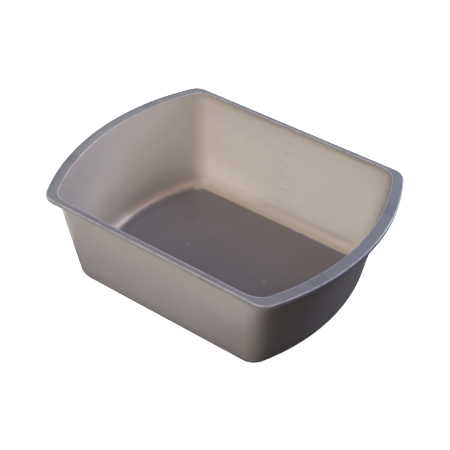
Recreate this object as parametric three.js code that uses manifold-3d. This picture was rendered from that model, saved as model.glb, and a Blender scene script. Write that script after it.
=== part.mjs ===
// A rectangular hospital wash basin: one moulding in translucent polypropylene.
// Millimetres, +Z up, +X along the basin's length. The basin stands on z = 0.
import * as THREE from 'three';
import { mergeVertices } from 'three/addons/utils/BufferGeometryUtils.js';
import Module from 'manifold-3d';

const wasm = await Module();
wasm.setup();

// Outlines seen from above. length and width are half sizes, bow is how far the middle of
// an end stands out past its corners, and corner is the radius of the corners.
const RIM = { length: 170, width: 129.6, bow: 35.4, corner: 17.8 };
const WALL_TOP = { length: 159.2, width: 125.1, bow: 33.4, corner: 24.8 };
const WALL_FOOT = { length: 139.1, width: 108.1, bow: 27.3, corner: 20.3 };

const HEIGHT = 113.4;
const WALL_AT_TOP = 2.0; // wall thickness
const WALL_AT_FOOT = 1.5;
const FLOOR = 1.6; // floor thickness

// Rim: a flange that falls slightly outward, with a lip turned down on its outer edge
const FLANGE = 2.0; // thickness
const FLANGE_FALL = 0.6;
const LIP_DEPTH = 4.6;
const LIP = 2.0; // thickness
const LIP_EDGE = 0.4; // rounding of the lip's lower edges
const RIM_EDGE = 1.2; // rounding where flange meets lip
const MOUTH_EDGE = 0.6; // rounding where flange meets the inside wall
const ROOT = 0.8; // fillet between wall and flange underneath

// Base: a large radius into the walls, a narrow foot ring and a floor panel raised inside it
const FOOT_RADIUS = 12.3; // outside
const COVE_HEIGHT = 14.5; // inside, where the cove meets the wall
const FOOT_RING = 2.8; // width of the flat ring that the basin stands on
const FOOT_STEP = 1.6; // width of the slope from the ring up to the panel
const RECESS = 2.4; // how far the panel's underside is above the ring
const PANEL_CORNER = 6; // least corner radius of the panel

const RIB_THICKNESS = 1.2; // ribs under the flange
const RIB_BITE = 0.8; // how far a rib runs into the wall, flange and lip
const SIDE_RIB_X = 65;
const END_RIB_Y = 60;

const QUART = 946353; // cubic millimetres
const MARK_COUNT = 6;
const MARK = { width: 8, height: 1.0, relief: 0.35, root: 0.6 };
const MOULD_OFFSET = -2; // marks, gates and side ribs sit a little left of the centre

const GATE_X = 51.2; // the two places where the plastic enters the mould
const GATE = { radius: 8, rise: 1.1 }; // ball radius and height of the bump above the floor
const SPRUE = { radius: 0.9, height: 0.7 }; // the stub left where the plastic was cut off
const STAMP = { x: -78, y: 40.5, radius: 6, width: 1.0, relief: 0.25 };

const END_STEPS = 7; // straight steps in each half end and in each corner
const CORNER_STEPS = 8;
const BEND_STEPS = 6; // steps in each large profile radius

function mix(a, b, t) {
  return a + (b - a) * t;
}

// The wall's outer outline at a height
function wallAt(z) {
  const t = z / HEIGHT;
  const blend = {};
  for (const key of Object.keys(WALL_FOOT)) blend[key] = mix(WALL_FOOT[key], WALL_TOP[key], t);
  return blend;
}

function thicknessAt(z) {
  return mix(WALL_AT_FOOT, WALL_AT_TOP, z / HEIGHT);
}

// The outline moved inward by a distance
function inset(shape, distance, leastCorner = 0) {
  const width = shape.width - distance;
  return {
    length: shape.length - distance,
    width,
    bow: (shape.bow * width) / shape.width,
    corner: Math.max(shape.corner - distance, leastCorner),
  };
}

// Where the end arc and the corner arc of an outline lie, in the first quarter
function arcsOf({ length, width, bow, corner }) {
  const endRadius = (bow * bow + width * width) / (2 * bow);
  const endX = length - endRadius;
  const cornerY = width - corner;
  const cornerX = endX + Math.sqrt((endRadius - corner) ** 2 - cornerY ** 2);
  return { endRadius, endX, cornerX, cornerY, meet: Math.atan2(cornerY, cornerX - endX) };
}

// Points of an outline, counter-clockwise: two bowed ends, four round corners, straight sides
function outline(shape) {
  const { endRadius, endX, cornerX, cornerY, meet } = arcsOf(shape);
  const quarter = [];
  for (let i = 0; i < END_STEPS; i++) {
    const angle = (meet * i) / END_STEPS;
    quarter.push([endX + endRadius * Math.cos(angle), endRadius * Math.sin(angle)]);
  }
  for (let i = 0; i <= CORNER_STEPS; i++) {
    const angle = mix(meet, Math.PI / 2, i / CORNER_STEPS);
    quarter.push([cornerX + shape.corner * Math.cos(angle), cornerY + shape.corner * Math.sin(angle)]);
  }
  const half = [...quarter, [0, shape.width]];
  for (const [x, y] of [...quarter].reverse()) half.push([-x, y]);
  const rest = half.slice(1, -1).reverse().map(([x, y]) => [x, -y]);
  return [...half, ...rest];
}

// Rings of the closed section, from the middle of the underside, up the outside, over the
// rim and down the inside to the middle of the floor. Each ring is an outline and a height.
function sectionRings() {
  const rings = [];
  const ring = (shape, z) => rings.push({ shape, z });
  const lipTop = HEIGHT - FLANGE_FALL;
  const lipBottom = lipTop - LIP_DEPTH;
  const panelEdge = FOOT_RADIUS + FOOT_RING;

  ring(inset(WALL_FOOT, panelEdge + FOOT_STEP, PANEL_CORNER), RECESS);
  ring(inset(WALL_FOOT, panelEdge + FOOT_STEP / 2, PANEL_CORNER), RECESS * 0.85);
  ring(inset(WALL_FOOT, panelEdge, PANEL_CORNER), 0);
  for (let i = 0; i <= BEND_STEPS; i++) {
    const angle = (Math.PI / 2) * (i / BEND_STEPS);
    const z = FOOT_RADIUS * (1 - Math.cos(angle));
    ring(inset(wallAt(z), FOOT_RADIUS * (1 - Math.sin(angle))), z);
  }
  ring(wallAt(HEIGHT / 2), HEIGHT / 2);

  const flangeUnder = HEIGHT - FLANGE;
  ring(wallAt(flangeUnder - ROOT), flangeUnder - ROOT);
  ring(inset(wallAt(flangeUnder), -ROOT), flangeUnder);
  ring(inset(RIM, LIP), lipTop - FLANGE);
  ring(inset(RIM, LIP), lipBottom + LIP_EDGE);
  ring(inset(RIM, LIP - LIP_EDGE), lipBottom);
  ring(inset(RIM, LIP_EDGE), lipBottom);
  ring(RIM, lipBottom + LIP_EDGE);
  const edgeSteps = 3;
  for (let i = 0; i <= edgeSteps; i++) {
    const angle = (Math.PI / 2) * (i / edgeSteps);
    ring(inset(RIM, RIM_EDGE * (1 - Math.cos(angle))), lipTop - RIM_EDGE * (1 - Math.sin(angle)));
  }

  for (let i = 0; i <= edgeSteps; i++) {
    const angle = (Math.PI / 2) * (i / edgeSteps);
    const z = HEIGHT - MOUTH_EDGE * (1 - Math.cos(angle));
    const wall = thicknessAt(z) - MOUTH_EDGE * (1 - Math.sin(angle));
    ring(inset(wallAt(z), wall), z);
  }
  ring(inset(wallAt(HEIGHT / 2), thicknessAt(HEIGHT / 2)), HEIGHT / 2);
  for (let i = BEND_STEPS; i >= 0; i--) {
    const angle = (Math.PI / 2) * (i / BEND_STEPS);
    const z = COVE_HEIGHT - (COVE_HEIGHT - FLOOR) * Math.cos(angle);
    const wall = thicknessAt(z);
    ring(inset(wallAt(z), mix(FOOT_RADIUS, wall, Math.sin(angle))), z);
  }
  ring(inset(WALL_FOOT, panelEdge, PANEL_CORNER), FLOOR);
  ring(inset(WALL_FOOT, panelEdge + FOOT_STEP / 2, PANEL_CORNER), FLOOR + RECESS * 0.8);
  ring(inset(WALL_FOOT, panelEdge + FOOT_STEP, PANEL_CORNER), FLOOR + RECESS);
  return rings;
}

// One closed skin through all the rings, with a fan of triangles over each end
function loft(rings) {
  const positions = [];
  for (const { shape, z } of rings) for (const [x, y] of outline(shape)) positions.push(x, y, z);
  const count = positions.length / 3 / rings.length;
  const index = [];
  for (let r = 0; r + 1 < rings.length; r++) {
    for (let i = 0; i < count; i++) {
      const next = (i + 1) % count;
      const [a, b] = [r * count + i, r * count + next];
      index.push(a, b, b + count, a, b + count, a + count);
    }
  }
  const under = positions.length / 3;
  positions.push(0, 0, rings[0].z);
  positions.push(0, 0, rings[rings.length - 1].z);
  const last = (rings.length - 1) * count;
  for (let i = 0; i < count; i++) {
    const next = (i + 1) % count;
    index.push(under, next, i, under + 1, last + i, last + next);
  }
  const geometry = new THREE.BufferGeometry();
  geometry.setAttribute('position', new THREE.Float32BufferAttribute(positions, 3));
  geometry.setIndex(index);
  return geometry;
}

function toManifold(geometry) {
  const plain = geometry.clone();
  plain.deleteAttribute('normal');
  plain.deleteAttribute('uv');
  const merged = mergeVertices(plain, 1e-4);
  return new wasm.Manifold(
    new wasm.Mesh({
      numProp: 3,
      vertProperties: new Float32Array(merged.attributes.position.array),
      triVerts: new Uint32Array(merged.index.array),
    }),
  );
}

function toGeometry(solid) {
  const mesh = solid.getMesh();
  const geometry = new THREE.BufferGeometry();
  geometry.setAttribute('position', new THREE.Float32BufferAttribute(mesh.vertProperties, 3));
  geometry.setIndex(Array.from(mesh.triVerts));
  geometry.computeVertexNormals();
  return geometry;
}

// A box given by its size and middle, turned about Z and then tipped about X
function block(size, middle, turn = 0, tip = 0) {
  const geometry = new THREE.BoxGeometry(...size);
  geometry.rotateX(tip);
  geometry.rotateZ(turn);
  geometry.translate(...middle);
  return geometry;
}

// One rib under the flange, across the channel between wall and lip. The rib stands at
// a point of the wall's and the lip's outlines, along the outward direction there.
function rib(wallPoint, lipPoint, direction) {
  const reach = lipPoint.clone().sub(wallPoint).dot(direction) + 2 * RIB_BITE;
  const top = HEIGHT - FLANGE + RIB_BITE;
  const bottom = HEIGHT - FLANGE_FALL - LIP_DEPTH + LIP_EDGE;
  const middle = wallPoint.clone().addScaledVector(direction, reach / 2 - RIB_BITE);
  const turn = Math.atan2(direction.y, direction.x);
  return block([reach, RIB_THICKNESS, top - bottom], [middle.x, middle.y, (top + bottom) / 2], turn);
}

function ribs() {
  const wall = wallAt(HEIGHT - LIP_DEPTH);
  const lip = inset(RIM, LIP);
  const wallArc = arcsOf(wall);
  const lipArc = arcsOf(lip);
  const solids = [];
  for (const side of [-1, 1]) {
    for (const place of [-1, 1]) {
      const x = place * SIDE_RIB_X + MOULD_OFFSET;
      const out = new THREE.Vector2(0, side);
      const atWall = new THREE.Vector2(x, side * wall.width);
      const atLip = new THREE.Vector2(x, side * lip.width);
      solids.push(rib(atWall, atLip, out));

      const angle = place * Math.asin(END_RIB_Y / lipArc.endRadius);
      const outward = new THREE.Vector2(Math.cos(angle), Math.sin(angle));
      const onWall = outward.clone().multiplyScalar(wallArc.endRadius);
      const onLip = outward.clone().multiplyScalar(lipArc.endRadius);
      onWall.x += wallArc.endX;
      onLip.x += lipArc.endX;
      for (const point of [onWall, onLip, outward]) point.x *= side;
      solids.push(rib(onWall, onLip, outward));
    }
  }
  return solids;
}

// Area that water covers at a height: the inside of the wall or cove, less the raised panel
function waterArea(z) {
  const area = (shape) => Math.abs(THREE.ShapeUtils.area(outline(shape).map(([x, y]) => ({ x, y }))));
  let wall = thicknessAt(z);
  if (z < COVE_HEIGHT) {
    const cosine = (COVE_HEIGHT - z) / (COVE_HEIGHT - FLOOR);
    wall = mix(FOOT_RADIUS, wall, Math.sqrt(1 - cosine * cosine));
  }
  const panel = inset(WALL_FOOT, FOOT_RADIUS + FOOT_RING + FOOT_STEP / 2, PANEL_CORNER);
  return area(inset(wallAt(z), wall)) - (z < FLOOR + RECESS ? area(panel) : 0);
}

// Height of the water for each whole quart
function quartHeights() {
  const step = 0.25;
  const heights = [];
  let volume = 0;
  for (let z = FLOOR + step / 2; heights.length < MARK_COUNT; z += step) {
    volume += waterArea(z) * step;
    if (volume >= QUART * (heights.length + 1)) heights.push(z);
  }
  return heights;
}

// Short raised marks up the inside of the back wall, one for each quart
function volumeMarks() {
  const lean = Math.atan((WALL_TOP.width - WALL_FOOT.width) / HEIGHT);
  return quartHeights().map((z) => {
    const face = wallAt(z).width - thicknessAt(z);
    const depth = MARK.relief + MARK.root;
    const y = face - MARK.relief + depth / 2;
    return block([MARK.width, depth, MARK.height], [MOULD_OFFSET, y, z], 0, -lean);
  });
}

// A plain round mark on the floor, a low ring with a square section
function stamp() {
  const floorTop = FLOOR + RECESS;
  const [low, high] = [floorTop - 0.5, floorTop + STAMP.relief];
  const [inner, outer] = [STAMP.radius - STAMP.width, STAMP.radius];
  const section = [[inner, low], [outer, low], [outer, high], [inner, high], [inner, low]];
  const geometry = new THREE.LatheGeometry(section.map(([r, z]) => new THREE.Vector2(r, z)), 28);
  geometry.rotateX(Math.PI / 2);
  geometry.translate(STAMP.x, STAMP.y, 0);
  return geometry;
}

// One gate: a low bump on the floor with a well of the same shape below it, and a stub in the well
function addGate(solid, x) {
  const middle = FLOOR + RECESS + GATE.rise - GATE.radius;
  const wellTop = middle + GATE.radius - FLOOR;
  const ball = (radius) => {
    const geometry = new THREE.SphereGeometry(radius, 24, 28);
    geometry.rotateX(Math.PI / 2);
    geometry.translate(x, 0, middle);
    return toManifold(geometry);
  };
  const stub = new THREE.CylinderGeometry(SPRUE.radius, SPRUE.radius, SPRUE.height + FLOOR / 2, 14);
  stub.rotateX(Math.PI / 2);
  stub.translate(x, 0, wellTop + (FLOOR / 2 - SPRUE.height) / 2);
  const bump = ball(GATE.radius).trimByPlane([0, 0, 1], RECESS + FLOOR / 2);
  return solid.add(bump).subtract(ball(GATE.radius - FLOOR)).add(toManifold(stub));
}

function basin() {
  let solid = toManifold(loft(sectionRings()));
  for (const piece of [...ribs(), ...volumeMarks(), stamp()]) solid = solid.add(toManifold(piece));
  for (const place of [-1, 1]) solid = addGate(solid, place * GATE_X + MOULD_OFFSET);
  const material = new THREE.MeshStandardMaterial({ color: 0x9c9694, roughness: 0.45, metalness: 0 });
  const mesh = new THREE.Mesh(toGeometry(solid), material);
  mesh.name = 'basin';
  return mesh;
}

const group = new THREE.Group();
group.add(basin());
export default group;
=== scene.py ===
import math

import bmesh
import bpy
import numpy as np
from mathutils import Matrix, Vector

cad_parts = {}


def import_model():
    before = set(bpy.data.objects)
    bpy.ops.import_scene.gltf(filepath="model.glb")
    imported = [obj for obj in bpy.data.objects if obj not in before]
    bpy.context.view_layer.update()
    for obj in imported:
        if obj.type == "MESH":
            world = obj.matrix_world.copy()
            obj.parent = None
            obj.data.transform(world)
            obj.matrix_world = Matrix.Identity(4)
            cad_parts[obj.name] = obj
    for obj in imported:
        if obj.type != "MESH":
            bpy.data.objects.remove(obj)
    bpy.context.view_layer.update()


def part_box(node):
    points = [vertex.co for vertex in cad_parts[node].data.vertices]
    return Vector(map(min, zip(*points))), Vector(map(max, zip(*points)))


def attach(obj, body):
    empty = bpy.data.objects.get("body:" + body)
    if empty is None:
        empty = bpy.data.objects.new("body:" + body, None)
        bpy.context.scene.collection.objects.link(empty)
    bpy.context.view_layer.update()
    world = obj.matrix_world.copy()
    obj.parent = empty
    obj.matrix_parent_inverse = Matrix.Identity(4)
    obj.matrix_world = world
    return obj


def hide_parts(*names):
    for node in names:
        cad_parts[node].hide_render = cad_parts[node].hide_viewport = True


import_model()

MM = 0.001
NODE = "basin"

# ---------------------------------------------------------------- sizes, in millimetres
# The overall size comes from the frame. The rest repeats the part's own design values, but with
# the volume marks a little fainter, and the round mark and the gate bumps a little stronger.
_, node_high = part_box(NODE)
RIM = {"length": node_high.x / MM, "width": node_high.y / MM, "bow": 35.4, "corner": 17.8}
WALL_TOP = {"length": 159.2, "width": 125.1, "bow": 33.4, "corner": 24.8}
WALL_FOOT = {"length": 139.1, "width": 108.1, "bow": 27.3, "corner": 20.3}
HEIGHT = node_high.z / MM

WALL_AT_TOP, WALL_AT_FOOT, FLOOR = 2.0, 1.5, 1.6
FLANGE, FLANGE_FALL = 2.0, 0.6
LIP_DEPTH, LIP, LIP_EDGE, RIM_EDGE = 4.6, 2.0, 0.4, 1.2
MOUTH_EDGE, ROOT = 0.6, 0.8
PALE_EDGE_BAND = 0.5      # how far the pale edge band, a painted highlight, reaches past an edge
FOOT_RADIUS, COVE_HEIGHT = 12.3, 14.5
FOOT_RING, FOOT_STEP, RECESS, PANEL_CORNER = 2.8, 1.6, 2.4, 6.0

RIB_THICKNESS, RIB_BITE, RIB_EDGE, SIDE_RIB_X, END_RIB_Y = 1.2, 0.8, 0.15, 65.0, 60.0
QUART, MARK_COUNT = 946353.0, 6      # cubic millimetres in a quart
MARK_WIDTH, MARK_HEIGHT, MARK_RELIEF, MARK_ROOT, MARK_EDGE = 8.0, 1.0, 0.28, 0.6, 0.12
MOULD_OFFSET = -2.0      # marks, gates and side ribs sit a little left of the centre
GATE_X, GATE_RADIUS, GATE_RISE = 51.2, 5.5, 1.9
SPRUE_RADIUS, SPRUE_HEIGHT, SPRUE_EDGE = 0.9, 0.7, 0.3
STAMP_X, STAMP_Y, STAMP_RADIUS, STAMP_WIDTH = -78.0, 40.5, 6.0, 1.0
STAMP_RELIEF, STAMP_ROOT, STAMP_SIDE, STAMP_BEVEL = 0.35, 0.5, 0.1, 0.15

POINT_GAP = 3.0      # spacing of points round the outline
END_POINTS = round(RIM["width"] / POINT_GAP)
SIDE_POINTS = round(WALL_TOP["length"] * 0.75 / POINT_GAP)
CORNER_POINTS = 16
ARC_STEPS = 14       # steps in each large profile radius
EDGE_STEPS = 6       # steps in each small profile radius
WALL_STEPS = 12      # steps up a wall
PANEL_GAP = 8.0      # spacing of the rings across the floor
PANEL_MARGIN = 2.0   # from the floor panel's edge to the first of those rings
STEP_UNDER = (0.0, 0.12, 0.3, 0.7, 0.85, 1.0)    # shares of the step up to the panel, underneath
STEP_INSIDE = (0.0, 0.12, 0.3, 0.7, 0.88, 1.0)   # and inside
GATE_STEPS = 18      # steps up each gate's dome
ROUND_STEPS = 48     # steps round a gate and round the mark
SPRUE_STEPS = 23     # a number of its own, so that its points miss the well's
SLICE = 0.25         # thickness of the slices that the volume is added up from
FLAT_ANGLE = 32      # degrees between faces from which an edge is sharp
WEAR_AND_HIGHLIGHT = "wear_and_highlight"        # vertex attribute, 1 on the edges and the gate crowns, where highlights are painted pale, and on the worn foot
ON_RIM = "on_rim"    # vertex attribute, 1 on the flange and the lip, where shade and a cool reflection are painted


def mix(a, b, t):
    return a + (b - a) * t


def wall_at(z):
    """The wall's outer outline at a height."""
    t = z / HEIGHT
    return {key: mix(WALL_FOOT[key], WALL_TOP[key], t) for key in WALL_FOOT}


def thickness_at(z):
    """The wall's thickness at a height."""
    return mix(WALL_AT_FOOT, WALL_AT_TOP, z / HEIGHT)


def inset(shape, distance, least_corner=0.0):
    """The outline moved inward by a distance, or outward by a negative one."""
    width = shape["width"] - distance
    return {
        "length": shape["length"] - distance,
        "width": width,
        "bow": shape["bow"] * width / shape["width"],
        "corner": max(shape["corner"] - distance, least_corner),
    }


def arcs_of(shape):
    """An outline's end arc (radius, middle x) and corner arc (middle x, middle y), and the angle
    where the two meet, in the first quarter."""
    length, width, bow, corner = (shape[k] for k in ("length", "width", "bow", "corner"))
    radius = (bow * bow + width * width) / (2 * bow)
    end_x = length - radius
    corner_y = width - corner
    corner_x = end_x + math.sqrt((radius - corner) ** 2 - corner_y**2)
    return radius, end_x, corner_x, corner_y, math.atan2(corner_y, corner_x - end_x)


def outline(shape):
    """Points of an outline, counter-clockwise, as an N x 2 array."""
    radius, end_x, corner_x, corner_y, meet = arcs_of(shape)
    a = np.linspace(0, meet, END_POINTS, endpoint=False)
    end = np.column_stack([end_x + radius * np.cos(a), radius * np.sin(a)])
    b = np.linspace(meet, math.pi / 2, CORNER_POINTS, endpoint=False)
    corner = shape["corner"] * np.column_stack([np.cos(b), np.sin(b)]) + (corner_x, corner_y)
    x = np.linspace(corner_x, 0, SIDE_POINTS, endpoint=False)
    side = np.column_stack([x, np.full_like(x, shape["width"])])
    quarter = np.vstack([end, corner, side])
    middle = np.array([[0.0, shape["width"]]])
    half = np.vstack([quarter, middle, quarter[::-1] * (-1, 1)])
    return np.vstack([half, half[-2:0:-1] * (1, -1)])


def section_rings():
    """The closed section as (outline, height, wear, rim) rings, from the middle of the underside
    round the outside, over the rim and down the inside to the middle of the floor."""
    rings = []
    lip_top = HEIGHT - FLANGE_FALL
    lip_bottom = lip_top - LIP_DEPTH
    panel_edge = FOOT_RADIUS + FOOT_RING

    def ring(shape, z, wear_and_highlight=0.0, rim=0.0):
        rings.append((outline(shape), z, wear_and_highlight, rim))

    def quarter_turn(steps):
        return [math.pi / 2 * i / steps for i in range(steps + 1)]

    def panel_step(t, z, wear_and_highlight=0.0):
        """A ring on the smooth step from the foot ring (t = 0) up to the floor panel (t = 1)."""
        rise = RECESS * t * t * (3 - 2 * t)
        ring(inset(WALL_FOOT, panel_edge + FOOT_STEP * t, PANEL_CORNER), z + rise, wear_and_highlight)

    panel = [panel_edge + FOOT_STEP + PANEL_MARGIN]
    while panel[-1] + 2 * PANEL_GAP < WALL_FOOT["width"]:
        panel.append(panel[-1] + PANEL_GAP)
    for distance in reversed(panel):
        ring(inset(WALL_FOOT, distance, PANEL_CORNER), RECESS)
    for t in reversed(STEP_UNDER):
        panel_step(t, 0, 1 - t)
    for a in quarter_turn(ARC_STEPS):
        z = FOOT_RADIUS * (1 - math.cos(a))
        ring(inset(wall_at(z), FOOT_RADIUS * (1 - math.sin(a))), z, max(0, 1 - 2 * math.sin(a)))
    flange_under = HEIGHT - FLANGE
    for i in range(1, WALL_STEPS):
        z = mix(FOOT_RADIUS, flange_under - ROOT, i / WALL_STEPS)
        ring(wall_at(z), z)
    for a in quarter_turn(EDGE_STEPS):
        z = flange_under - ROOT * (1 - math.sin(a))
        ring(inset(wall_at(z), -ROOT * (1 - math.cos(a))), z)

    lip_root = lip_top - FLANGE
    for a in quarter_turn(EDGE_STEPS):
        z = lip_root - ROOT * (1 - math.cos(a))
        ring(inset(RIM, LIP + ROOT * (1 - math.sin(a))), z)
    for a in quarter_turn(EDGE_STEPS):
        z = lip_bottom + LIP_EDGE * (1 - math.sin(a))
        ring(inset(RIM, LIP - LIP_EDGE * (1 - math.cos(a))), z)
    for a in quarter_turn(EDGE_STEPS):
        # The lip's bottom edge, the rim's top edge and the mouth edge are painted pale as highlight
        # lines
        z = lip_bottom + LIP_EDGE * (1 - math.cos(a))
        ring(inset(RIM, LIP_EDGE * (1 - math.sin(a))), z, math.sin(2 * a), 1.0)
    for a in quarter_turn(EDGE_STEPS):
        z = lip_top - RIM_EDGE * (1 - math.sin(a))
        ring(inset(RIM, RIM_EDGE * (1 - math.cos(a))), z, math.sin(a), 1.0)

    ring(inset(RIM, RIM_EDGE + PALE_EDGE_BAND), mix(lip_top, HEIGHT, PALE_EDGE_BAND / LIP_DEPTH), 0.0, 1.0)
    ring(inset(wall_at(HEIGHT), WALL_AT_TOP - MOUTH_EDGE - PALE_EDGE_BAND), HEIGHT, 0.0, 1.0)
    for a in quarter_turn(EDGE_STEPS):
        z = HEIGHT - MOUTH_EDGE * (1 - math.cos(a))
        distance = thickness_at(z) - MOUTH_EDGE * (1 - math.sin(a))
        ring(inset(wall_at(z), distance), z, math.cos(a), math.cos(a))
    for i in range(1, WALL_STEPS):
        z = mix(HEIGHT - MOUTH_EDGE, COVE_HEIGHT, i / WALL_STEPS)
        ring(inset(wall_at(z), thickness_at(z)), z)
    for a in reversed(quarter_turn(ARC_STEPS)):
        z = COVE_HEIGHT - (COVE_HEIGHT - FLOOR) * math.cos(a)
        ring(inset(wall_at(z), mix(FOOT_RADIUS, thickness_at(z), math.sin(a))), z)
    for t in STEP_INSIDE:
        panel_step(t, FLOOR)
    for distance in panel:
        ring(inset(WALL_FOOT, distance, PANEL_CORNER), FLOOR + RECESS)
    return rings


def new_object(name, bm):
    """An object in the scene made of a bmesh, which is freed."""
    mesh = bpy.data.meshes.new(name)
    bm.to_mesh(mesh)
    bm.free()
    obj = bpy.data.objects.new(name, mesh)
    bpy.context.scene.collection.objects.link(obj)
    return obj


def loft(name, rings):
    """One closed skin through the rings. Each end is closed by one flat face."""
    bm = bmesh.new()
    layers = [bm.verts.layers.float.new(name) for name in (WEAR_AND_HIGHLIGHT, ON_RIM)]
    loops = []
    for points, z, *values in rings:
        loops.append([bm.verts.new((x * MM, y * MM, z * MM)) for x, y in points])
        for layer, value in zip(layers, values):
            for vert in loops[-1]:
                vert[layer] = value
    for low, high in zip(loops, loops[1:]):
        for i, vert in enumerate(low):
            j = (i + 1) % len(low)
            bm.faces.new((vert, low[j], high[j], high[i]))
    bm.faces.new(loops[0][::-1])
    bm.faces.new(loops[-1])
    return new_object(name, bm)


def rounded_block(name, size, middle, turn, tip, edge):
    """A block with rounded edges, given by its size and middle in millimetres. It's tipped about
    its own length and then turned about an upright axis."""
    bm = bmesh.new()
    bmesh.ops.create_cube(bm, size=1.0)
    bmesh.ops.scale(bm, vec=Vector(size) * MM, verts=bm.verts)
    bmesh.ops.bevel(bm, geom=bm.edges[:], offset=edge * MM, segments=2, affect="EDGES", profile=0.5)
    place = Matrix.Translation(Vector(middle) * MM)
    place = place @ Matrix.Rotation(turn, 4, "Z") @ Matrix.Rotation(tip, 4, "X")
    bmesh.ops.transform(bm, matrix=place, verts=bm.verts)
    return new_object(name, bm)


def rib(index, wall_point, lip_point, out):
    """One rib under the flange, across the channel between wall and lip."""
    reach = (lip_point - wall_point).dot(out) + 2 * RIB_BITE
    top = HEIGHT - FLANGE + RIB_BITE
    bottom = HEIGHT - FLANGE_FALL - LIP_DEPTH + LIP_EDGE
    middle = wall_point + out * (reach / 2 - RIB_BITE)
    size = (reach, RIB_THICKNESS, top - bottom)
    place = (middle.x, middle.y, (top + bottom) / 2)
    return rounded_block(f"rib_{index}", size, place, math.atan2(out.y, out.x), 0, RIB_EDGE)


def ribs():
    """Two ribs on each side, each of which ties the lip to the wall."""
    wall = wall_at(HEIGHT - LIP_DEPTH)
    lip = inset(RIM, LIP)
    wall_radius, wall_x = arcs_of(wall)[:2]
    lip_radius, lip_x = arcs_of(lip)[:2]
    made = []
    for side in (-1, 1):
        for place in (-1, 1):
            x = place * SIDE_RIB_X + MOULD_OFFSET
            on_wall = Vector((x, side * wall["width"]))
            on_lip = Vector((x, side * lip["width"]))
            made.append(rib(len(made), on_wall, on_lip, Vector((0, side))))
            angle = place * math.asin(END_RIB_Y / lip_radius)
            out = Vector((math.cos(angle), math.sin(angle)))
            on_wall = Vector((wall_x, 0)) + out * wall_radius
            on_lip = Vector((lip_x, 0)) + out * lip_radius
            for point in (on_wall, on_lip, out):
                point.x *= side
            made.append(rib(len(made), on_wall, on_lip, out))
    return made


def area(points):
    """The area inside a closed ring of points."""
    x, y = points[:, 0], points[:, 1]
    return abs(np.dot(x, np.roll(y, -1)) - np.dot(y, np.roll(x, -1))) / 2


def quart_heights():
    """Height of the water for each whole quart, by adding up thin slices."""
    panel = area(outline(inset(WALL_FOOT, FOOT_RADIUS + FOOT_RING + FOOT_STEP / 2, PANEL_CORNER)))
    heights, volume, z = [], 0.0, FLOOR + SLICE / 2
    while len(heights) < MARK_COUNT:
        wall = thickness_at(z)
        if z < COVE_HEIGHT:
            cosine = (COVE_HEIGHT - z) / (COVE_HEIGHT - FLOOR)
            wall = mix(FOOT_RADIUS, wall, math.sqrt(1 - cosine * cosine))
        water = area(outline(inset(wall_at(z), wall)))
        if z < FLOOR + RECESS:
            water -= panel
        volume += water * SLICE
        if volume >= QUART * (len(heights) + 1):
            heights.append(z)
        z += SLICE
    return heights


def volume_marks():
    """A short raised tick on the inside of the back wall for each whole quart."""
    lean = math.atan((WALL_TOP["width"] - WALL_FOOT["width"]) / HEIGHT)
    size = (MARK_WIDTH, MARK_RELIEF + MARK_ROOT, MARK_HEIGHT)
    made = []
    for index, z in enumerate(quart_heights()):
        face = wall_at(z)["width"] - thickness_at(z)
        middle = (MOULD_OFFSET, face - MARK_RELIEF + size[1] / 2, z)
        made.append(rounded_block(f"mark_{index}", size, middle, 0, -lean, MARK_EDGE))
    return made


def stamp():
    """A plain round mark on the floor, a low ring with a softened section."""
    floor_top = FLOOR + RECESS
    high, low = floor_top + STAMP_RELIEF, floor_top - STAMP_ROOT
    outer, inner = STAMP_RADIUS, STAMP_RADIUS - STAMP_WIDTH
    section = [
        (outer, low),
        (outer, high - STAMP_SIDE),
        (outer - STAMP_BEVEL, high),
        (inner + STAMP_BEVEL, high),
        (inner, high - STAMP_SIDE),
        (inner, low),
    ]
    bm = bmesh.new()
    loops = []
    for i in range(ROUND_STEPS):
        a = 2 * math.pi * i / ROUND_STEPS
        loop = []
        for radius, z in section:
            x, y = STAMP_X + radius * math.cos(a), STAMP_Y + radius * math.sin(a)
            loop.append(bm.verts.new((x * MM, y * MM, z * MM)))
        loops.append(loop)
    for i, loop in enumerate(loops):
        after = loops[(i + 1) % ROUND_STEPS]
        for k in range(len(section)):
            n = (k + 1) % len(section)
            bm.faces.new((loop[k], after[k], after[n], loop[n]))
    return new_object("stamp", bm)


def turned(name, x, section, steps):
    """A round body about an upright axis, through (radius, height, wear) points from the bottom up."""
    a = np.linspace(0, 2 * math.pi, steps, endpoint=False) + 1 / steps
    circle = np.column_stack([np.cos(a), np.sin(a)])
    return loft(name, [(circle * radius + (x, 0), z, wear_and_highlight) for radius, z, wear_and_highlight in section])


def gate(basin, index, x):
    """A low bump on the floor with a well of the same shape below it, and a stub in the well."""
    middle = FLOOR + RECESS + GATE_RISE - GATE_RADIUS
    well_radius = GATE_RADIUS - FLOOR
    well_top = middle + well_radius

    def dome(radius, bottom, crown_highlight):
        """Points from the bottom of a dome up to its crown, where its painted pale highlight is
        strongest.
        """
        start = math.acos((bottom - middle) / radius)
        points = []
        for i in range(GATE_STEPS, 0, -1):
            a = start * i / GATE_STEPS
            wear_and_highlight = crown_highlight * min(1, 2 * max(0, 1 - 1.5 * a / start))
            points.append((radius * math.sin(a), middle + radius * math.cos(a), wear_and_highlight))
        return points

    # The bump's crown is painted pale as a highlight
    bump = turned(f"gate_bump_{index}", x, dome(GATE_RADIUS, RECESS + FLOOR / 2, 1), ROUND_STEPS)
    boolean(basin, bump, "UNION")
    well = turned(f"gate_well_{index}", x, dome(well_radius, RECESS - FLOOR, 0), ROUND_STEPS)
    boolean(basin, well, "DIFFERENCE")
    stub_end = well_top - SPRUE_HEIGHT
    stub_section = [
        (SPRUE_RADIUS - SPRUE_EDGE, stub_end, 1),
        (SPRUE_RADIUS, stub_end + SPRUE_EDGE, 1),
        (SPRUE_RADIUS, well_top + FLOOR / 2, 0),
    ]
    boolean(basin, turned(f"gate_stub_{index}", x, stub_section, SPRUE_STEPS), "UNION")


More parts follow.
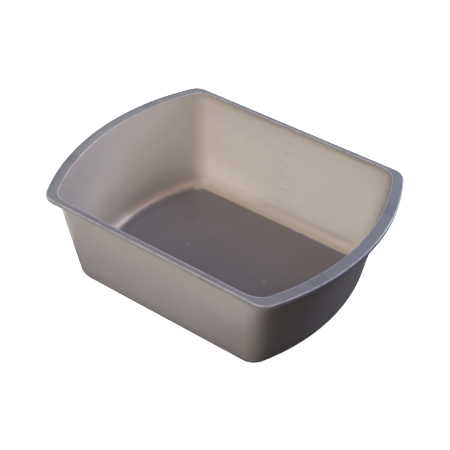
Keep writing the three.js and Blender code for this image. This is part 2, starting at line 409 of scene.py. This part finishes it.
def boolean(target, tool, operation):
    """Join a tool to the target or cut it away, and delete the tool."""
    modifier = target.modifiers.new("cut", "BOOLEAN")
    modifier.operation = operation
    modifier.solver = "EXACT"
    modifier.object = tool
    bpy.context.view_layer.objects.active = target
    with bpy.context.temp_override(object=target, active_object=target):
        bpy.ops.object.modifier_apply(modifier=modifier.name)
    mesh = tool.data
    bpy.data.objects.remove(tool)
    bpy.data.meshes.remove(mesh)


def build_basin():
    """The whole moulding, as one closed mesh."""
    basin = loft("basin_shell", section_rings())
    for piece in [*ribs(), *volume_marks(), stamp()]:
        boolean(basin, piece, "UNION")
    for place in (-1, 1):
        gate(basin, place, place * GATE_X + MOULD_OFFSET)
    basin.data.shade_smooth()
    basin.data.set_sharp_from_angle(angle=math.radians(FLAT_ANGLE))
    flats = basin.modifiers.new("flat_faces", "WEIGHTED_NORMAL")
    flats.keep_sharp = True
    return basin


# ---------------------------------------------------------------- material
PLASTIC_WARM = (0.384, 0.357, 0.341, 1)
PLASTIC_COOL = (0.376, 0.353, 0.339, 1)
PALE_WEAR_AND_HIGHLIGHT = (0.62, 0.60, 0.60, 1)
# Painted shade and a painted cool sky reflection on the flange and lip, and painted rib shadows across
# the flange
RIM_PAINTED_SHADE_AND_SKY = (0.81, 0.92, 1.02, 1)
RIB_PAINTED_SHADOW, PAST_RIB_PAINTED_SHADE, CORNER_PAINTED_SHADE = 0.9, 0.88, 0.98      # painted shade: shares of the flange's colour over a rib, past it and in the corners
RIB_HALF, RIB_FADE, PAST_RIB_LENGTH = 0.5, 0.9, 17.0           # millimetres along the rim
# Sizes of the noise's lumps along each axis, in millimetres
CLOUD = (38, 38, 38)
FLOW = (5, 5, 90)
GRAIN = (0.7, 0.7, 0.7)
PALE_PATCH = (7, 7, 7)
GLOSS_PATCH = (30, 30, 30)
WIPED_STREAK = (1.6, 30, 1.6)
TEXTURE = (0.55, 0.55, 0.55)
SINK_WAVE = (17, 17, 17)
# Roughness, and heights of relief in millimetres
GLOSSIEST, DULLEST, WIPED, PALE_MARK_DULL = 0.24, 0.256, 0.01, 0.08
TEXTURE_HEIGHT, SINK_HEIGHT = 0.016, 0.10


def plastic():
    """Translucent warm grey polypropylene with a satin moulded surface. Its edges and gate crowns are
    painted pale as highlights, its foot is worn, and its flange carries painted shade and a painted
    cool reflection.
    """
    material = bpy.data.materials.new("basin_polypropylene")
    material.use_nodes = True
    nodes, links = material.node_tree.nodes, material.node_tree.links
    shader = nodes["Principled BSDF"]
    shader.inputs["Subsurface Weight"].default_value = 0.75
    shader.inputs["Subsurface Radius"].default_value = (1.0, 0.93, 0.88)
    shader.inputs["Subsurface Scale"].default_value = 0.01
    shader.inputs["IOR"].default_value = 1.49
    place = nodes.new("ShaderNodeTexCoord").outputs["Object"]

    def noise(stretch, detail):
        """Noise whose lumps have the given sizes in millimetres."""
        scaled = nodes.new("ShaderNodeMapping")
        scaled.inputs["Scale"].default_value = [1 / (size * MM) for size in stretch]
        links.new(place, scaled.inputs["Vector"])
        texture = nodes.new("ShaderNodeTexNoise")
        texture.inputs["Scale"].default_value = 1.0
        texture.inputs["Detail"].default_value = detail
        links.new(scaled.outputs["Vector"], texture.inputs["Vector"])
        return texture.outputs["Fac"]

    def spread(value, low, high, to_low, to_high):
        """The value moved from one range to another, and held within it."""
        node = nodes.new("ShaderNodeMapRange")
        limits = {"From Min": low, "From Max": high, "To Min": to_low, "To Max": to_high}
        for name, number in limits.items():
            node.inputs[name].default_value = number
        links.new(value, node.inputs["Value"])
        return node.outputs["Result"]

    def math_node(operation, a, b):
        node = nodes.new("ShaderNodeMath")
        node.operation = operation
        for socket, value in zip(node.inputs, (a, b)):
            if isinstance(value, (int, float)):
                socket.default_value = value
            else:
                links.new(value, socket)
        return node.outputs["Value"]

    def attribute(name):
        node = nodes.new("ShaderNodeAttribute")
        node.attribute_name = name
        return node.outputs["Fac"]

    def blend(kind, factor, a, b):
        node = nodes.new("ShaderNodeMix")
        node.data_type = "RGBA"
        node.blend_type = kind
        sockets = [s for s in node.inputs if s.enabled]
        for socket, value in zip(sockets, (factor, a, b)):
            if isinstance(value, (int, float, tuple)):
                socket.default_value = value
            else:
                links.new(value, socket)
        return next(s for s in node.outputs if s.enabled)

    def grey(value):
        """A number as a colour."""
        node = nodes.new("ShaderNodeCombineColor")
        for socket in ("Red", "Green", "Blue"):
            links.new(value, node.inputs[socket])
        return node.outputs["Color"]

    def past_ribs():
        """Distance along the rim past the nearest rib, negative between a side's two ribs."""
        parts = nodes.new("ShaderNodeSeparateXYZ")
        links.new(place, parts.inputs["Vector"])
        lip_radius, lip_x = arcs_of(inset(RIM, LIP))[:2]
        slope = END_RIB_Y / math.sqrt(lip_radius**2 - END_RIB_Y**2)
        from_middle = math_node("ABSOLUTE", math_node("ADD", parts.outputs["X"], -MOULD_OFFSET * MM), 0)
        side = math_node("SUBTRACT", from_middle, SIDE_RIB_X * MM)
        reach = math_node("SUBTRACT", math_node("ABSOLUTE", parts.outputs["X"], 0), lip_x * MM)
        across = math_node("ABSOLUTE", parts.outputs["Y"], 0)
        end = math_node("SUBTRACT", across, math_node("MULTIPLY", reach, slope))
        return math_node("MINIMUM", side, end)

    # Colour: cloudy pigment, faint flow lines up the walls, fine grain, pale edges and gate crowns as
    # painted highlights, and a worn foot.
    # The flange and lip carry painted shade and a painted cool reflection: a little darker and cooler,
    # most of all over a rib and for a short way past it.
    cloud = spread(noise(CLOUD, 1.5), 0.25, 0.75, 0, 1)
    colour = blend("MIX", cloud, PLASTIC_WARM, PLASTIC_COOL)
    flow = spread(noise(FLOW, 2), 0.3, 0.7, 0.99, 1.01)
    grain = spread(noise(GRAIN, 2), 0.3, 0.7, 0.985, 1.015)
    colour = blend("MULTIPLY", 1.0, colour, grey(math_node("MULTIPLY", flow, grain)))
    # Painted rib shadows: the flange is darker over each rib beneath it and for a short way past it,
    # and a little darker in the corners
    along = past_ribs()
    half = RIB_HALF * MM
    over_rib = spread(math_node("ABSOLUTE", along, 0), half, half + RIB_FADE * MM, RIB_PAINTED_SHADOW, 1)
    start = spread(along, -half, half, 1, PAST_RIB_PAINTED_SHADE)
    end = PAST_RIB_LENGTH * MM
    stop = spread(along, end - MM, end + MM, 1, CORNER_PAINTED_SHADE / PAST_RIB_PAINTED_SHADE)
    rib_painted_shade = math_node("MULTIPLY", over_rib, math_node("MULTIPLY", start, stop))
    # Painted shade and painted cool reflection: the flange and lip are darkened and cooled
    rim_painted_shade = blend("MULTIPLY", 1.0, RIM_PAINTED_SHADE_AND_SKY, grey(rib_painted_shade))
    colour = blend("MULTIPLY", 1.0, colour, blend("MIX", attribute(ON_RIM), (1, 1, 1, 1), rim_painted_shade))
    # Painted highlights: the edges and the gate crowns are painted pale in patches, and the foot is
    # worn pale the same way
    patchy = spread(noise(PALE_PATCH, 4), 0.3, 0.62, 0.35, 1)
    worn_and_highlit = math_node("MULTIPLY", attribute(WEAR_AND_HIGHLIGHT), patchy)
    colour = blend("MIX", worn_and_highlit, colour, PALE_WEAR_AND_HIGHLIGHT)
    links.new(colour, shader.inputs["Base Color"])

    # Gloss: satin, with duller patches from cleaning, and duller on the painted pale highlights and the
    # worn foot
    patches = spread(noise(GLOSS_PATCH, 1), 0.25, 0.75, GLOSSIEST, DULLEST)
    wiped = spread(noise(WIPED_STREAK, 2), 0.55, 0.75, 0, WIPED)
    satin = math_node("ADD", patches, wiped)
    dull = math_node("MULTIPLY", worn_and_highlit, PALE_MARK_DULL)
    links.new(math_node("ADD", satin, dull), shader.inputs["Roughness"])

    # Relief: the mould's fine spark-eroded texture on top of slow sink waves in the walls
    texture = math_node("MULTIPLY", noise(TEXTURE, 2), TEXTURE_HEIGHT)
    waves = math_node("MULTIPLY", noise(SINK_WAVE, 1), SINK_HEIGHT)
    relief = math_node("ADD", texture, waves)
    bump = nodes.new("ShaderNodeBump")
    bump.inputs["Strength"].default_value = 1.0
    bump.inputs["Distance"].default_value = MM
    links.new(relief, bump.inputs["Height"])
    links.new(bump.outputs["Normal"], shader.inputs["Normal"])
    return material


# ---------------------------------------------------------------- stage
TARGET = Vector((0.0, -0.0019, 0.060))      # the point that the camera and the soft boxes look at
CAMERA_AZIMUTH, CAMERA_ELEVATION, CAMERA_ROLL = 35.22, 39.49, 1.53
CAMERA_DISTANCE, CAMERA_LENS, SENSOR_WIDTH = 1.2215, 92.6, 36
FLOOR_REACH = 6.0      # metres from the middle to an edge


def direction(azimuth, elevation):
    """Unit vector towards a place round the basin. Azimuth 0 is in front, 90 on the right."""
    a, e = math.radians(azimuth), math.radians(elevation)
    return Vector((math.sin(a) * math.cos(e), -math.cos(a) * math.cos(e), math.sin(e)))


def camera():
    """The camera looks down into the basin from the front right."""
    data = bpy.data.cameras.new("camera")
    data.lens = CAMERA_LENS
    data.sensor_width = SENSOR_WIDTH
    cam = bpy.data.objects.new("camera", data)
    bpy.context.scene.collection.objects.link(cam)
    back = direction(CAMERA_AZIMUTH, CAMERA_ELEVATION)
    right = Vector((0, 0, 1)).cross(back).normalized()
    up = back.cross(right)
    roll = math.radians(CAMERA_ROLL)
    rolled_right = right * math.cos(roll) + up * math.sin(roll)
    rolled_up = up * math.cos(roll) - right * math.sin(roll)
    turn = Matrix((rolled_right, rolled_up, back)).transposed().to_4x4()
    cam.matrix_world = Matrix.Translation(TARGET + back * CAMERA_DISTANCE) @ turn
    bpy.context.scene.camera = cam


# Soft boxes round the basin: name, azimuth, elevation, size, watts, colour
SOFTBOX_DISTANCE = 1.5
SOFTBOXES = [
    ("back_low", 180, 0, 0.55, 14.2, (1.0, 0.88, 0.62)),
    ("window_low", 150, 21, 0.3, 12.5, (0.63, 0.73, 1.0)),
    ("window_high", 140, 40, 0.55, 5.2, (0.62, 0.66, 1.0)),
    ("right", 100, 52, 0.55, 1.7, (0.97, 0.69, 0.75)),
    ("front", 0, 20, 0.55, 6.2, (1.0, 0.94, 0.92)),
    ("front_left", 340, 40, 0.55, 3.0, (1.0, 0.74, 0.62)),
    ("front_spot", 345, 30, 0.3, 1.8, (1.0, 0.95, 0.85)),
    ("front_high", 0, 65, 0.9, 4.6, (0.85, 0.87, 1.0)),
]
# Cards lying on the table round the basin, shining up: name, azimuth, watts, colour
CARD_SIZE, CARD_RADIUS_X, CARD_RADIUS_Y = 0.3, 0.36, 0.30
CARDS = [
    ("card_front", 0, 0.2, (1.0, 0.96, 0.84)),
    ("card_back", 180, 0.68, (0.78, 1.0, 0.86)),
    ("card_back_left", 210, 0.36, (1.0, 0.9, 0.8)),
    ("card_left", 270, 1.38, (0.97, 1.0, 0.9)),
    ("card_front_left", 300, 0.22, (0.9, 0.97, 1.0)),
]
# Strips of table that shine up under the edge of the foot: name, from azimuth, to azimuth, how far
# in from the wall they start, strength, colour. Their outer edge is a little outside the walls.
GLOW_OUTER = -10.0      # inset of their outer edge
GLOW_DROP = 0.5 * MM    # how far they lie below the foot
GLOWS = [
    ("glow_back", 130, 230, 12.0, 1.05, (1.0, 0.86, 0.68)),
    ("glow_left_back", 230, 270, 5.0, 1.3, (1.0, 0.7, 0.53)),
    ("glow_left_front", 270, 310, 5.0, 2.7, (0.95, 0.98, 1.0)),
]


def area_light(name, size, power, colour):
    """A square light that the camera doesn't see."""
    data = bpy.data.lights.new(name, "AREA")
    data.shape = "SQUARE"
    data.size = size
    data.energy = power
    data.color = colour
    lamp = bpy.data.objects.new(name, data)
    bpy.context.scene.collection.objects.link(lamp)
    lamp.visible_camera = False
    return lamp


def softbox(name, azimuth, elevation, size, power, colour):
    """A square light round the basin, turned to face it."""
    lamp = area_light(name, size, power, colour)
    back = direction(azimuth, elevation)
    lamp.location = TARGET + back * SOFTBOX_DISTANCE
    lamp.rotation_euler = back.to_track_quat("Z", "Y").to_euler()


def card(name, azimuth, power, colour):
    """A square light that lies on the table and faces up."""
    lamp = area_light(name, CARD_SIZE, power, colour)
    a = math.radians(azimuth)
    lamp.location = (CARD_RADIUS_X * math.sin(a), -CARD_RADIUS_Y * math.cos(a), MM)
    lamp.rotation_euler = (math.pi, 0, 0)


def glow(name, start, end, reach, strength, colour):
    """A strip of glowing table that follows the foot, between two azimuths."""
    inner = outline(inset(WALL_FOOT, reach, PANEL_CORNER))
    outer = outline(inset(WALL_FOOT, GLOW_OUTER))
    bm = bmesh.new()
    for i, point in enumerate(inner):
        if start <= math.degrees(math.atan2(point[0], -point[1])) % 360 < end:
            j = (i + 1) % len(inner)
            corners = (inner[i], inner[j], outer[j], outer[i])
            bm.faces.new([bm.verts.new((x * MM, y * MM, -GLOW_DROP)) for x, y in corners])
    strip = new_object(name, bm)
    material = bpy.data.materials.new(name)
    material.use_nodes = True
    shader = material.node_tree.nodes["Principled BSDF"]
    shader.inputs["Base Color"].default_value = (0, 0, 0, 1)
    shader.inputs["Specular IOR Level"].default_value = 0
    shader.inputs["Emission Color"].default_value = (*colour, 1)
    shader.inputs["Emission Strength"].default_value = strength
    strip.data.materials.append(material)
    strip.visible_camera = False
    strip.visible_shadow = False


def lights():
    for row in SOFTBOXES:
        softbox(*row)
    for row in CARDS:
        card(*row)
    for row in GLOWS:
        glow(*row)


def floor():
    """A plain white floor that the camera sees and the light ignores."""
    bm = bmesh.new()
    bmesh.ops.create_grid(bm, x_segments=2, y_segments=2, size=FLOOR_REACH)
    plane = new_object("floor", bm)
    material = bpy.data.materials.new("floor")
    material.use_nodes = True
    shader = material.node_tree.nodes["Principled BSDF"]
    shader.inputs["Base Color"].default_value = (0.9, 0.9, 0.9, 1)
    shader.inputs["Roughness"].default_value = 0.9
    shader.inputs["Emission Color"].default_value = (1, 1, 1, 1)
    shader.inputs["Emission Strength"].default_value = 1.0
    plane.data.materials.append(material)
    plane.visible_diffuse = False
    plane.visible_glossy = False
    plane.visible_transmission = False
    plane.visible_shadow = False


def world():
    made = bpy.data.worlds.new("studio")
    made.use_nodes = True
    made.node_tree.nodes["Background"].inputs["Color"].default_value = (1, 1, 1, 1)
    made.node_tree.nodes["Background"].inputs["Strength"].default_value = 0.0
    bpy.context.scene.world = made


basin = build_basin()
basin.data.materials.append(plastic())
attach(basin, "root")
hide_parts(NODE)

floor()
world()
camera()
lights()
bpy.context.scene.view_settings.view_transform = "Standard"
